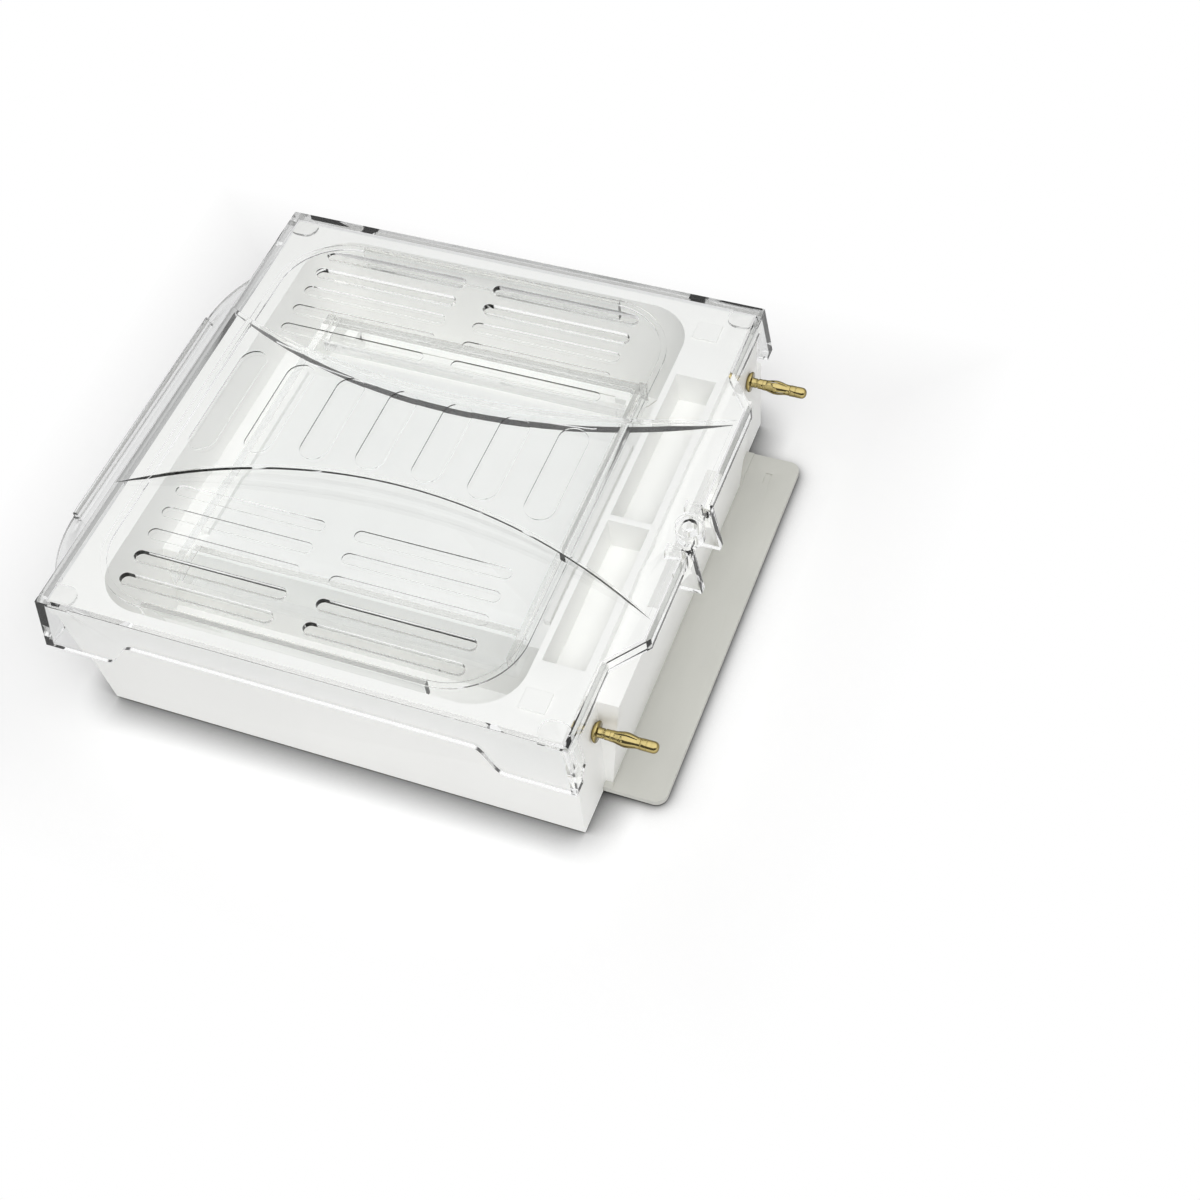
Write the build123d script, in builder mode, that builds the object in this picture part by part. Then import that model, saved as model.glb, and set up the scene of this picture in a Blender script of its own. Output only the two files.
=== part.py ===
"""Horizontal electrophoresis tank: white tank, clear lift-off lid, gel tray and plug-in electrodes.

Millimetres, +Z up, bench at Z = 0. X runs from the lid's grip (left) to the plugs (right),
Y from the front (plus plug) to the back (minus plug). The origin is under the middle of the
overall length and depth.
"""
from build123d import *
import os

os.makedirs("parts", exist_ok=True)

# Heights above the bench
foot_stand = 1.0            # underside of the tank above the bench
tank_height = 53.0          # underside to rim
ledge_drop = 4.0            # outer ledge below the rim, where the lid's edge comes down
pad_height = 1.0            # corner pads hold the lid's plate this far above the rim
lid_plate = 2.0             # thickness of the lid's flat top
underside_z = foot_stand
rim_z = underside_z + tank_height
ledge_z = rim_z - ledge_drop
plate_under_z = rim_z + pad_height
lid_top_z = plate_under_z + lid_plate

# Plugs, one on each side of the middle
half_depth_rim = 93.9       # rim lip, front and back
plug_inset = 16.3           # from the rim's lip to the plug's axis
plug_y = half_depth_rim - plug_inset
plug_z = 39.4
plug_radius = 2.0
neck_radius = 1.6           # plain stretch next to the flange
tail_radius = 1.5           # threaded tail inside the tank
flange_radius = 3.7
flange_taper = 0.8          # the flange widens over this length from the wall
flange_gap = 0.5
flange_thickness = 1.5
neck_length = 4.1
spring_length = 10.0
tip_length = 5.9

# Tank wall, measured from the lid's centre line
wall = 3.0                  # general wall of the moulding
lip = 0.3                   # how far the rim's lip stands out at the front and back
half_depth_ledge = half_depth_rim - lip
wall_draft = 1.0            # how much narrower each side is at the underside
half_depth_foot = half_depth_ledge - wall_draft
left_ledge = 87.7           # left wall at the ledge
left_lip = 2.3              # how far the rim's lip stands out on the left
left_rim = left_ledge + left_lip
left_draft = 5.4
left_foot = left_ledge - left_draft
right_rim = 90.2            # rim, right
corner_out = 3.0            # ledge beside the plugs, out from the rim
corner_draft = 0.5
corner_ledge = right_rim + corner_out
corner_foot = corner_ledge - corner_draft
bulge_out = 10.4            # ledge between the plugs, out from the rim
bulge_draft = 5.6
bulge_ledge = right_rim + bulge_out
bulge_foot = bulge_ledge - bulge_draft
relief_lip = 0.7            # right corners, set back where the lid's returns come down
relief_width = 5.9
relief_depth = 17.0
relief_right = right_rim + relief_lip
relief_start = half_depth_rim - relief_width

# Buffer chamber
left_margin = 11.7          # rim's width on each side of the chamber
right_margin = 19.5
side_margin = 4.2
chamber_left_rim = left_rim - left_margin
chamber_right_rim = right_rim - right_margin
chamber_half_rim = half_depth_rim - side_margin
chamber_radius_rim = 17.0
chamber_draft = 1.5
chamber_left_floor = chamber_left_rim - chamber_draft
chamber_right_floor = chamber_right_rim - chamber_draft
chamber_half_floor = chamber_half_rim - chamber_draft
chamber_radius_floor = chamber_radius_rim - chamber_draft
reservoir_floor_z = 6.0
table_z = 33.0              # gel table
table_half = 50.0           # half width of the table across Y, at its top
table_slope = 4.0           # how much wider each side is at the reservoir floor

# Storage trough on the right and the notch for the lid's fins
chamber_wall = 2.3          # between the chamber and the trough
trough_rim = 2.7            # between the trough and the rim's right edge
terminal_room = 7.6         # from the plug's axis to the end of its pocket
trough_offset = 7.0         # the trough stops this much earlier at the back
trough_left = chamber_right_rim + chamber_wall
trough_right = right_rim - trough_rim
pocket_start = plug_y - terminal_room       # terminal pockets run from here to recess_half
trough_front = pocket_start - wall
trough_back = trough_front - trough_offset
trough_depth = 13.0
bulge_front = plug_y - flange_radius - flange_gap
bulge_inset = 0.5
bulge_back = trough_back - bulge_inset
divider_y = -7.0
divider_wall = 2.4
fin_y = -5.0                # middle of the fins and of their notch
notch_width = 4.6
notch_left = bulge_ledge - notch_width
notch_half = 30.0
notch_depth = 14.0

# Underside hollows
foot_wall = 4.5             # wall left round the recess
hollow_wall = 5.5           # wall left at the ends of the table's hollow
plug_wall = 3.2             # wall that the plugs go through
recess_left = left_foot - foot_wall
recess_right = corner_foot - foot_wall
recess_half = half_depth_foot - foot_wall
table_hollow_left = chamber_left_rim - hollow_wall
table_hollow_right = chamber_right_rim - hollow_wall
pocket_left = trough_left
pocket_right = corner_ledge - plug_wall
trough_hollow_right = bulge_foot - wall

# Dock plate
plate_thickness = 2.0
plate_left = 66.0
plate_reach = 20.6          # how far it stands out past the ledge beside the plugs
plate_inset = 1.6           # its ends, in from the plugs' axes
plate_right = corner_ledge + plate_reach
plate_half = plug_y - plate_inset
plate_radius = 4.0
plate_gap = 0.3
plate_step = 0.4            # the part under the tank stands this much above the rest
step_clear = 0.6            # from the tank's wall to the step
mark_inset = 10.0
mark_x = plate_right - mark_inset
mark_y = plate_half - mark_inset
mark_length = 5.0
mark_width = 2.4
mark_depth = 0.4
screw_x = 80.0
screw_spacing = 40.0
screw_rows = 4
screw_radius = 1.5
screw_head_radius = 2.9
screw_head_depth = 1.6
screw_length = 11.0
boss_radius = 4.0
thread_gap = 0.05

# Rubber feet
foot_radius = 6.0
foot_inset = 2.0
foot_left = recess_left - foot_inset - foot_radius
foot_right = plate_left - foot_radius - foot_inset
foot_half = recess_half - foot_inset - foot_radius

# Lid
skirt_wall = 2.4
lid_gap = 0.6               # lid to rim lip, left
front_gap = 0.5             # lid to rim lip, front and back
edge_gap = 0.8              # lid's right edge to the rim
step_gap = 0.4              # lid's right edge to the stepped-out wall
skirt_flare = 2.3           # how much wider each side is at the bottom of the skirts
side_flare = 2.0
middle_flare = 0.8
lid_left = left_rim + lid_gap + skirt_wall          # outline at the top
lid_corner = right_rim + edge_gap + skirt_wall
lid_middle = bulge_ledge + step_gap + skirt_wall
lid_half = half_depth_rim + front_gap + skirt_wall
lid_left_low = lid_left + side_flare                # outline at the bottom of the skirts
lid_corner_low = lid_corner + side_flare
lid_middle_low = lid_middle + middle_flare
lid_half_low = lid_half + skirt_flare
step_margin = 3.5           # the right edge starts to step out this far from the wall's step
step_run = 12.5
step_outer = bulge_back + step_margin
step_inner = step_outer - step_run
skirt_depth = 22.0          # corner skirts
skirt_middle_depth = 12.0   # front and back skirts between the corners
skirt_step_outer = 72.0
skirt_step_inner = 60.0
left_skirt_depth = 19.0
right_lip_depth = 5.0
return_length = 9.5         # side returns of the corner skirts
return_radius = 4.0
pad_length = 10.5
pad_width = 8.5
pad_radius = 4.0

# Raised band across the lid
arch_rise = 7.0
arch_margin = 2.0
arch_right = lid_middle - arch_margin
arch_waist = 21.3           # half width in the middle
arch_end = 44.0             # half width at both ends

# Splash rib under the lid
rib_out = 6.2               # past the chamber's edge on the left
rib_in = 3.7                # inside the chamber's edge on the right
rib_clear = 2.2             # inside the chamber's edge at the front and back
rib_left = chamber_left_rim + rib_out
rib_right = chamber_right_rim - rib_in
rib_half = chamber_half_rim - rib_clear
rib_radius = 25.0
rib_wall = 2.1
rib_depth = 7.0             # below the plate, along the front and back
rib_shallow = 0.7           # below the plate, round the corners and sides

# Vents and shallow grooves in the lid
pattern_x = -9.3            # centre of the pattern
vent_length = 56.0
vent_width = 4.4
vent_columns = 67.0         # column spacing
vent_rows = 5
first_row = 40.2
row_pitch = 9.75
open_rows = 2               # the outermost rows are cut right through
groove_depth = 0.5
arch_slots = 7
arch_slot_pitch = 20.6
arch_slot_width = 10.5
arch_slot_half = 18.0       # half length in the middle of the band
arch_slot_growth = 0.45     # how far the slots follow the band as it widens

# Grip on the left and fins on the right
grip_reach = 18.0
grip_straight = 49.6
grip_margin = 8.4           # from the grip's ends to the lid's corners
grip_out = lid_left + grip_reach
grip_end = lid_half - grip_margin
grip_thickness = 2.0
bead_proud = 0.7
bead_width = 2.0
bead_height = 4.2
bead_radius = 0.9
fin_spacing = 19.0
fin_wall = 3.0
fin_length = 7.9            # from the lid's edge inward
fin_proud = 1.2             # past the lid's edge, at the top
fin_flare = 3.0             # further out at the bottom
fin_width = 7.6             # of the hanging leg, at the bottom
fin_drop = 19.0
fin_arm = 5.0
fin_root = lid_middle - fin_length
fin_top = lid_middle + fin_proud
fin_tip = fin_top + fin_flare
fin_inner = fin_tip - fin_width
boss_inset = 3.0
boss_x = lid_middle - boss_inset
eye_radius = 5.0
eye_hole = 2.6
eye_proud = 1.2

# Gel tray and its two end dams
tray_left = 65.5
tray_right = 60.5
tray_half = 63.0
tray_floor = 3.0
tray_wall = 3.0
tray_height = 9.5
tray_gap = 0.3
dam_width = 13.0
dam_height = 6.4
dam_gap = 0.3
dam_chamfer = 0.8
guide_height = 2.0
guide_wall = 2.0
guide_half = 40.0

# Details of the plugs
tip_round = 1.5
core_radius = 1.2
leaf_wall = 0.35
leaf_bulge = 0.85
leaf_slots = 4
slot_width = 0.8
spring_ring = 1.2           # plain ring at each end of the spring
spring_ring_radius = 1.7
tail_end = pocket_left + wall
nut_across = 5.5
nut_thickness = 2.8
washer_radius = 3.5
washer_thickness = 0.8

# Electrode parts, one set on each side
post_radius = 1.5
post_z = 22.0
post_proud = 3.2            # into the chamber, past its floor's edge
post_reach = 9.0            # into the pocket
post_inner = chamber_right_floor - post_proud
post_outer = pocket_left + post_reach
seal_radius = 3.0
seal_length = 1.5
strip_room = 7.0
strip_x = pocket_left + strip_room
strip_thickness = 0.8
strip_width = 7.0
strip_margin = 3.5
wire_radius = 0.2
wire_z = 12.0
wire_bend = 5.0
wire_lead = 5.0
wire_drop = 8.0             # how far the sloping stretch runs along X
wire_right = post_inner - wire_lead - wire_drop
holder_length = 5.0
holder_width = 6.0
holder_height = 9.0
holder_back = 11.0          # from the wire's bend to the right holder
holder_margin = 6.8         # from the chamber's left wall to the left holder
holder_right = wire_right - holder_back
holder_left = holder_margin - chamber_left_floor
wire_left = holder_left + holder_length / 2
holder_hole = 0.3
cap_inset = 4.0
cap_margin_y = 11.9         # from the rim's lip to the cap's middle
cap_x = pocket_left + cap_inset
cap_y = half_depth_rim - cap_margin_y
cap_length = 9.0
cap_width = 8.0
cap_plate = 0.6
cap_gap = 0.1
cap_margin = 1.0

# The origin is midway between the grip and the plug tips
plug_start = corner_ledge
plug_reach = plug_start + flange_thickness + neck_length + spring_length + tip_length
centre_x = (grip_out + bead_proud - plug_reach) / 2


def level(z):
    """Horizontal plane at a height above the bench, on the lid's centre line."""
    return Plane(origin=(centre_x, 0, z), x_dir=(1, 0, 0), z_dir=(0, 0, 1))


def cross_plane(y):
    """Upright plane along X: its own x is +X, its own y is +Z."""
    return Plane(origin=(centre_x, y, 0), x_dir=(1, 0, 0), z_dir=(0, -1, 0))


def side_plane(x):
    """Upright plane along Y: its own x is +Y, its own y is +Z, and it faces +X."""
    return Plane(origin=(centre_x + x, 0, 0), x_dir=(0, 1, 0), z_dir=(1, 0, 0))


def pin_plane(x, y, z):
    """Plane across a pin that runs along +X."""
    return Plane(origin=(centre_x + x, y, z), x_dir=(0, 1, 0), z_dir=(1, 0, 0))


def slab(x_from, x_to, y_from, y_to, z_from, z_to, mode=Mode.ADD):
    """Box between six faces, joined to or cut from the part that is being made."""
    size = (x_to - x_from, y_to - y_from, z_to - z_from)
    with Locations((centre_x + x_from, y_from, z_from)):
        Box(*size, align=(Align.MIN, Align.MIN, Align.MIN), mode=mode)


def save(part, name):
    """Label a finished piece and write its file."""
    part.label = name
    export_step(part, f"parts/{name}.step")


# Plans and profiles of the tank

def tank_plan(z, left, corner, bulge, half):
    """Outer wall, stepped out on the right between the plugs."""
    with BuildSketch(level(z)) as plan:
        with BuildLine():
            Polyline(
                (-left, -half), (corner, -half), (corner, -bulge_front), (bulge, -bulge_front),
                (bulge, bulge_back), (corner, bulge_back), (corner, half), (-left, half),
                close=True,
            )
        make_face()
    return plan.sketch


def rounded_plan(z, left, right, half, radius):
    """Rounded rectangle between a left and a right edge."""
    with BuildSketch(level(z)) as plan:
        with Locations(((right - left) / 2, 0)):
            RectangleRounded(left + right, 2 * half, radius)
    return plan.sketch


def table_profile():
    """Section of the gel table: flat on top, sloping to the reservoir floors."""
    foot = table_half + table_slope
    with BuildSketch(side_plane(-left_rim)) as profile:
        with BuildLine():
            Polyline(
                (-foot, reservoir_floor_z), (foot, reservoir_floor_z),
                (table_half, table_z), (-table_half, table_z), close=True,
            )
        make_face()
    return profile.sketch


with BuildPart() as chamber:
    loft(
        [
            rounded_plan(reservoir_floor_z, chamber_left_floor, chamber_right_floor,
                         chamber_half_floor, chamber_radius_floor),
            rounded_plan(rim_z, chamber_left_rim, chamber_right_rim,
                         chamber_half_rim, chamber_radius_rim),
        ],
        ruled=True,
    )
    extrude(table_profile(), amount=left_rim + right_rim, mode=Mode.SUBTRACT)


# White tank moulding

recess_z = underside_z + plate_thickness + plate_step
trough_floor_z = rim_z - trough_depth
trough_hollow_z = trough_floor_z - wall
screw_ys = [screw_spacing * (i - (screw_rows - 1) / 2) for i in range(screw_rows)]
guide_left = -(tray_left + tray_gap)
guide_right = tray_right + tray_gap

with BuildPart() as tank_body:
    loft(
        [
            tank_plan(underside_z, left_foot, corner_foot, bulge_foot, half_depth_foot),
            tank_plan(ledge_z, left_ledge, corner_ledge, bulge_ledge, half_depth_ledge),
        ],
        ruled=True,
    )
    slab(-left_rim, right_rim, -half_depth_rim, half_depth_rim, ledge_z, rim_z)
    # hollows of the underside
    slab(-recess_left, recess_right, -recess_half, recess_half, underside_z, recess_z,
         mode=Mode.SUBTRACT)
    slab(recess_right, bulge_ledge, -plate_half - plate_gap, plate_half + plate_gap,
         underside_z, recess_z, mode=Mode.SUBTRACT)
    slab(-table_hollow_left, table_hollow_right, wall + table_slope - table_half,
         table_half - table_slope - wall, recess_z, table_z - wall, mode=Mode.SUBTRACT)
    slab(pocket_left, trough_hollow_right, -pocket_start, pocket_start,
         recess_z, trough_hollow_z, mode=Mode.SUBTRACT)
    slab(pocket_left, pocket_right, pocket_start, recess_half,
         recess_z, rim_z - wall, mode=Mode.SUBTRACT)
    slab(pocket_left, pocket_right, -recess_half, -pocket_start,
         recess_z, rim_z - wall, mode=Mode.SUBTRACT)
    # buffer chamber, and the storage trough in two parts
    add(chamber.part, mode=Mode.SUBTRACT)
    slab(trough_left, trough_right, -trough_front, divider_y - divider_wall / 2,
         trough_floor_z, rim_z, mode=Mode.SUBTRACT)
    slab(trough_left, trough_right, divider_y + divider_wall / 2, trough_back,
         trough_floor_z, rim_z, mode=Mode.SUBTRACT)
    # notch in the ledge for the lid's fins
    slab(notch_left, bulge_ledge + wall, fin_y - notch_half, fin_y + notch_half,
         ledge_z - notch_depth, ledge_z, mode=Mode.SUBTRACT)
    # set-back right corners
    for side in (-1, 1):
        y_outer = side * half_depth_rim
        y_inner = side * relief_start
        slab(relief_right, bulge_ledge, min(y_outer, y_inner), max(y_outer, y_inner),
             ledge_z - relief_depth, ledge_z, mode=Mode.SUBTRACT)
    # screw bosses under the trough
    with BuildSketch(level(recess_z)):
        with Locations(*[(screw_x, y) for y in screw_ys]):
            Circle(boss_radius)
            Circle(screw_radius + thread_gap, mode=Mode.SUBTRACT)
    extrude(amount=trough_hollow_z - recess_z)
    # low guides that keep the gel tray in place on the table
    slab(guide_left - guide_wall, guide_left, -guide_half, guide_half,
         table_z, table_z + guide_height)
    slab(guide_right, guide_right + guide_wall, -guide_half, guide_half,
         table_z, table_z + guide_height)
    # holes for the plugs, the posts and the caps
    for side in (-1, 1):
        with BuildSketch(pin_plane(pocket_right, side * plug_y, plug_z)):
            Circle(tail_radius + thread_gap)
        extrude(amount=bulge_ledge - pocket_right, mode=Mode.SUBTRACT)
        with BuildSketch(pin_plane(chamber_right_floor - wall, side * plug_y, post_z)):
            Circle(post_radius + thread_gap)
        extrude(amount=pocket_left - chamber_right_floor + wall, mode=Mode.SUBTRACT)
        with BuildSketch(level(rim_z)):
            with Locations((cap_x, side * cap_y)):
                Rectangle(cap_length - 2 * cap_margin, cap_width - 2 * cap_margin)
        extrude(amount=-wall, mode=Mode.SUBTRACT)
save(tank_body.part, "tank_body")


# Grey dock plate, its screws and the rubber feet

plate_top_z = underside_z + plate_thickness
step_right = bulge_foot + step_clear

with BuildPart() as dock_plate:
    with BuildSketch(level(underside_z)):
        with Locations(((plate_left + plate_right) / 2, 0)):
            RectangleRounded(plate_right - plate_left, 2 * plate_half, plate_radius)
    extrude(amount=plate_thickness + plate_step)
    slab(step_right, plate_right, -plate_half, plate_half, plate_top_z, recess_z,
         mode=Mode.SUBTRACT)
    with BuildSketch(level(underside_z)):
        with Locations(*[(screw_x, y) for y in screw_ys]):
            Circle(screw_radius + thread_gap)
    extrude(amount=plate_thickness + plate_step, mode=Mode.SUBTRACT)
    with BuildSketch(level(underside_z)):
        with Locations(*[(screw_x, y) for y in screw_ys]):
            Circle(screw_head_radius)
    extrude(amount=screw_head_depth, taper=40, mode=Mode.SUBTRACT)
    slab(mark_x - mark_width / 2, mark_x + mark_width / 2, mark_y - mark_length / 2,
         mark_y + mark_length / 2, plate_top_z - mark_depth, plate_top_z, mode=Mode.SUBTRACT)
save(dock_plate.part, "dock_plate")

with BuildPart() as plate_screws:
    with BuildSketch(level(underside_z)):
        with Locations(*[(screw_x, y) for y in screw_ys]):
            Circle(screw_head_radius - thread_gap)
    extrude(amount=screw_head_depth, taper=40)
    with BuildSketch(level(underside_z)):
        with Locations(*[(screw_x, y) for y in screw_ys]):
            Circle(screw_radius)
    extrude(amount=screw_length)
save(plate_screws.part, "plate_screws")

with BuildPart() as rubber_feet:
    with BuildSketch(level(0)):
        with Locations((-foot_left, -foot_half), (-foot_left, foot_half),
                       (foot_right, -foot_half), (foot_right, foot_half)):
            Circle(foot_radius)
    extrude(amount=recess_z)
    chamfer(rubber_feet.faces().filter_by(Axis.Z).group_by(Axis.Z)[0].edges(), 0.6)
save(rubber_feet.part, "rubber_feet")


# Plans and profiles of the lid

arch_middle = (arch_right - lid_left) / 2


def lid_plan(z, left, corner, middle, half):
    """Lid outline, stepped out on the right between the plugs."""
    with BuildSketch(level(z)) as plan:
        with BuildLine():
            Polyline(
                (-left, -half), (corner, -half), (corner, -step_outer), (middle, -step_inner),
                (middle, step_inner), (corner, step_outer), (corner, half), (-left, half),
                close=True,
            )
        make_face()
    return plan.sketch


def band_plan(inset):
    """Waisted plan of the raised band, drawn in by an inset."""
    left = inset - lid_left
    right = arch_right - inset
    end = arch_end - inset
    waist = arch_waist - inset
    with BuildSketch(level(ledge_z)) as plan:
        with BuildLine():
            ThreePointArc((left, -end), (arch_middle, -waist), (right, -end))
            Line((right, -end), (right, end))
            ThreePointArc((right, end), (arch_middle, waist), (left, end))
            Line((left, end), (left, -end))
        make_face()
    return plan.sketch


def band_profile(drop, base_z):
    """Section of the band along X: flat below, arched above."""
    ends = lid_top_z - drop
    with BuildSketch(cross_plane(0)) as profile:
        with BuildLine():
            ThreePointArc((-lid_left, ends), (arch_middle, ends + arch_rise), (arch_right, ends))
            Polyline((arch_right, ends), (arch_right, base_z), (-lid_left, base_z),
                     (-lid_left, ends))
        make_face()
    return profile.sketch


def band_block(inset, drop, base_z):
    """Solid under the arched surface, within the waisted plan."""
    with BuildPart() as block:
        extrude(band_profile(drop, base_z), amount=lid_half, both=True)
        extrude(band_plan(inset), amount=lid_top_z, mode=Mode.INTERSECT)
    return block.part


def rib_plan(z):
    """Splash rib: a rounded rectangular ring."""
    with BuildSketch(level(z)) as plan:
        with Locations(((rib_right - rib_left) / 2, 0)):
            RectangleRounded(rib_left + rib_right, 2 * rib_half, rib_radius)
            RectangleRounded(rib_left + rib_right - 2 * rib_wall, 2 * (rib_half - rib_wall),
                             rib_radius - rib_wall, mode=Mode.SUBTRACT)
    return plan.sketch


def skirt_cut():
    """What is cut from the front and back skirts between the corners, with its two S-curves."""
    low = lid_top_z - skirt_depth
    high = lid_top_z - skirt_middle_depth
    middle = (skirt_step_outer + skirt_step_inner) / 2
    with BuildSketch(cross_plane(0)) as cut:
        with BuildLine():
            Bezier((-skirt_step_outer, low), (-middle, low), (-middle, high),
                   (-skirt_step_inner, high))
            Line((-skirt_step_inner, high), (skirt_step_inner, high))
            Bezier((skirt_step_inner, high), (middle, high), (middle, low),
                   (skirt_step_outer, low))
            Polyline((skirt_step_outer, low), (skirt_step_outer, low - wall),
                     (-skirt_step_outer, low - wall), (-skirt_step_outer, low))
        make_face()
    return cut.sketch


def side_cut(x, length, depth, radius):
    """What is cut below a side edge, leaving a rounded return at both ends."""
    low = lid_top_z - skirt_depth
    high = lid_top_z - depth
    end = lid_half_low - length
    with BuildSketch(side_plane(x)) as cut:
        with BuildLine():
            for side in (-1, 1):
                Line((side * end, high), (side * end, low + radius))
                RadiusArc((side * end, low + radius), (side * (end + radius), low),
                          radius * side)
                Line((side * (end + radius), low), (side * (end + radius), low - wall))
            Line((-end, high), (end, high))
            Line((-end - radius, low - wall), (end + radius, low - wall))
        make_face()
    return cut.sketch


def grip_plan():
    """Finger grip: straight outer edge with a large arc back to the skirt at each end."""
    with BuildSketch(level(lid_top_z - left_skirt_depth)) as plan:
        with BuildLine():
            Line((-grip_out, -grip_straight), (-grip_out, grip_straight))
            TangentArc((-grip_out, grip_straight), (-lid_left, grip_end), tangent=(0, 1))
            Line((-lid_left, grip_end), (-lid_left, -grip_end))
            TangentArc((-grip_out, -grip_straight), (-lid_left, -grip_end), tangent=(0, -1))
        make_face()
    return plan.sketch


def fin_profile(y):
    """Fin that hangs from the lid's right edge, drawn on its own upright plane."""
    with BuildSketch(cross_plane(y)) as profile:
        with BuildLine():
            Polyline(
                (fin_root, lid_top_z), (fin_top, lid_top_z), (fin_tip, lid_top_z - fin_drop),
                (fin_inner, lid_top_z - fin_drop), (fin_inner, lid_top_z - fin_arm),
                (fin_root, lid_top_z - fin_arm), close=True,
            )
        make_face()
    return profile.sketch


def vent_plan(z, rows):
    """Slots along X in two columns, in the given rows at the front and the back."""
    with BuildSketch(level(z)) as plan:
        for row in rows:
            y = first_row + row * row_pitch
            with Locations((pattern_x, 0)):
                with GridLocations(vent_columns, 2 * y, 2, 2):
                    SlotOverall(vent_length, vent_width)
    return plan.sketch


def band_half_at(x):
    """Half width of the band at x, on the circle through its waist and ends."""
    chord = (arch_right + lid_left) / 2
    sagitta = arch_end - arch_waist
    radius = (chord ** 2 + sagitta ** 2) / (2 * sagitta)
    return arch_waist + radius - (radius ** 2 - (x - arch_middle) ** 2) ** 0.5


def band_slot_plan():
    """Broad slots along Y that grow with the band's width."""
    with BuildSketch(level(ledge_z)) as plan:
        for i in range(arch_slots):
            x = pattern_x + (i - (arch_slots - 1) / 2) * arch_slot_pitch
            half = arch_slot_half + arch_slot_growth * (band_half_at(x) - arch_waist)
            with Locations((x, 0)):
                SlotOverall(2 * half, arch_slot_width, rotation=90)
    return plan.sketch


# Clear lid, one moulding

band_outer = band_block(0, 0, plate_under_z)
band_inner = band_block(lid_plate, lid_plate, ledge_z)
band_skin = band_block(0, groove_depth, ledge_z)

with BuildPart() as band_grooves:
    extrude(band_slot_plan(), amount=lid_top_z)
    add(band_skin, mode=Mode.SUBTRACT)

with BuildPart() as band_rib:
    extrude(rib_plan(plate_under_z), amount=lid_top_z)
    add(band_outer, mode=Mode.INTERSECT)

skirt_low_z = lid_top_z - skirt_depth
fin_ys = [fin_y - fin_spacing / 2, fin_y + fin_spacing / 2]

with BuildPart() as lid:
    loft(
        [
            lid_plan(lid_top_z, lid_left, lid_corner, lid_middle, lid_half),
            lid_plan(skirt_low_z, lid_left_low, lid_corner_low, lid_middle_low, lid_half_low),
        ],
        ruled=True,
    )
    loft(
        [
            lid_plan(plate_under_z, lid_left - skirt_wall, lid_corner - skirt_wall,
                     lid_middle - skirt_wall, lid_half - skirt_wall),
            lid_plan(skirt_low_z, lid_left_low - skirt_wall, lid_corner_low - skirt_wall,
                     lid_middle_low - skirt_wall, lid_half_low - skirt_wall),
        ],
        ruled=True,
        mode=Mode.SUBTRACT,
    )
    extrude(skirt_cut(), amount=lid_half_low + wall, both=True, mode=Mode.SUBTRACT)
    extrude(side_cut(lid_corner - 2 * skirt_wall, return_length, right_lip_depth, return_radius),
            amount=lid_middle, mode=Mode.SUBTRACT)
    slab(-lid_left - wall, -lid_left + 2 * skirt_wall, -grip_end, grip_end,
         skirt_low_z, lid_top_z - left_skirt_depth, mode=Mode.SUBTRACT)
    # grip with its bead
    extrude(grip_plan(), amount=grip_thickness)
    with BuildSketch(cross_plane(0)):
        with Locations((-grip_out - bead_proud + bead_width / 2,
                        lid_top_z - left_skirt_depth + grip_thickness / 2)):
            RectangleRounded(bead_width, bead_height, bead_radius)
    extrude(amount=grip_straight, both=True)
    # raised band, and the splash rib that hangs deepest along the front and back
    add(band_outer)
    add(band_inner, mode=Mode.SUBTRACT)
    add(band_rib.part)
    extrude(rib_plan(plate_under_z), amount=-rib_shallow)
    for side in (-1, 1):
        y_outer = side * rib_half
        y_inner = side * (rib_half - rib_wall)
        slab(rib_radius - rib_left, rib_right - rib_radius, min(y_outer, y_inner),
             max(y_outer, y_inner), plate_under_z - rib_depth, plate_under_z)
    # vents and grooves
    extrude(vent_plan(plate_under_z, range(vent_rows - open_rows, vent_rows)),
            amount=lid_plate, mode=Mode.SUBTRACT)
    extrude(vent_plan(lid_top_z - groove_depth, range(vent_rows - open_rows)),
            amount=groove_depth, mode=Mode.SUBTRACT)
    add(band_grooves.part, mode=Mode.SUBTRACT)
    # corner pads that rest on the rim
    with BuildSketch(level(rim_z)):
        with Locations((-lid_left + skirt_wall / 2 + pad_length / 2, 0),
                       (lid_corner - skirt_wall / 2 - pad_length / 2, 0)):
            with GridLocations(1, 2 * lid_half - skirt_wall - pad_width, 1, 2):
                RectangleRounded(pad_length, pad_width, pad_radius)
    extrude(amount=pad_height)
    # fins and their eye on the right edge
    slab(lid_middle - 2 * skirt_wall, lid_middle_low, fin_ys[0], fin_ys[1],
         lid_top_z - right_lip_depth, plate_under_z, mode=Mode.SUBTRACT)
    for y in fin_ys:
        extrude(fin_profile(y), amount=fin_wall / 2, both=True)
    with BuildSketch(level(lid_top_z - fin_arm)):
        with Locations((boss_x, fin_y)):
            Circle(eye_radius)
    extrude(amount=fin_arm + eye_proud)
    with BuildSketch(level(lid_top_z - fin_arm)):
        with Locations((boss_x, fin_y)):
            Circle(eye_hole)
    extrude(amount=fin_arm + eye_proud, mode=Mode.SUBTRACT)
save(lid.part, "lid")


# Clear gel tray and the two dams that close its ends

tray_top_z = table_z + tray_height
tray_floor_z = table_z + tray_floor

with BuildPart() as gel_tray:
    slab(-tray_left, tray_right, -tray_half, tray_half, table_z, tray_top_z)
    slab(-tray_left + tray_wall, tray_right - tray_wall, -tray_half, tray_half,
         tray_floor_z, tray_top_z, mode=Mode.SUBTRACT)
save(gel_tray.part, "gel_tray")

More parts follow.
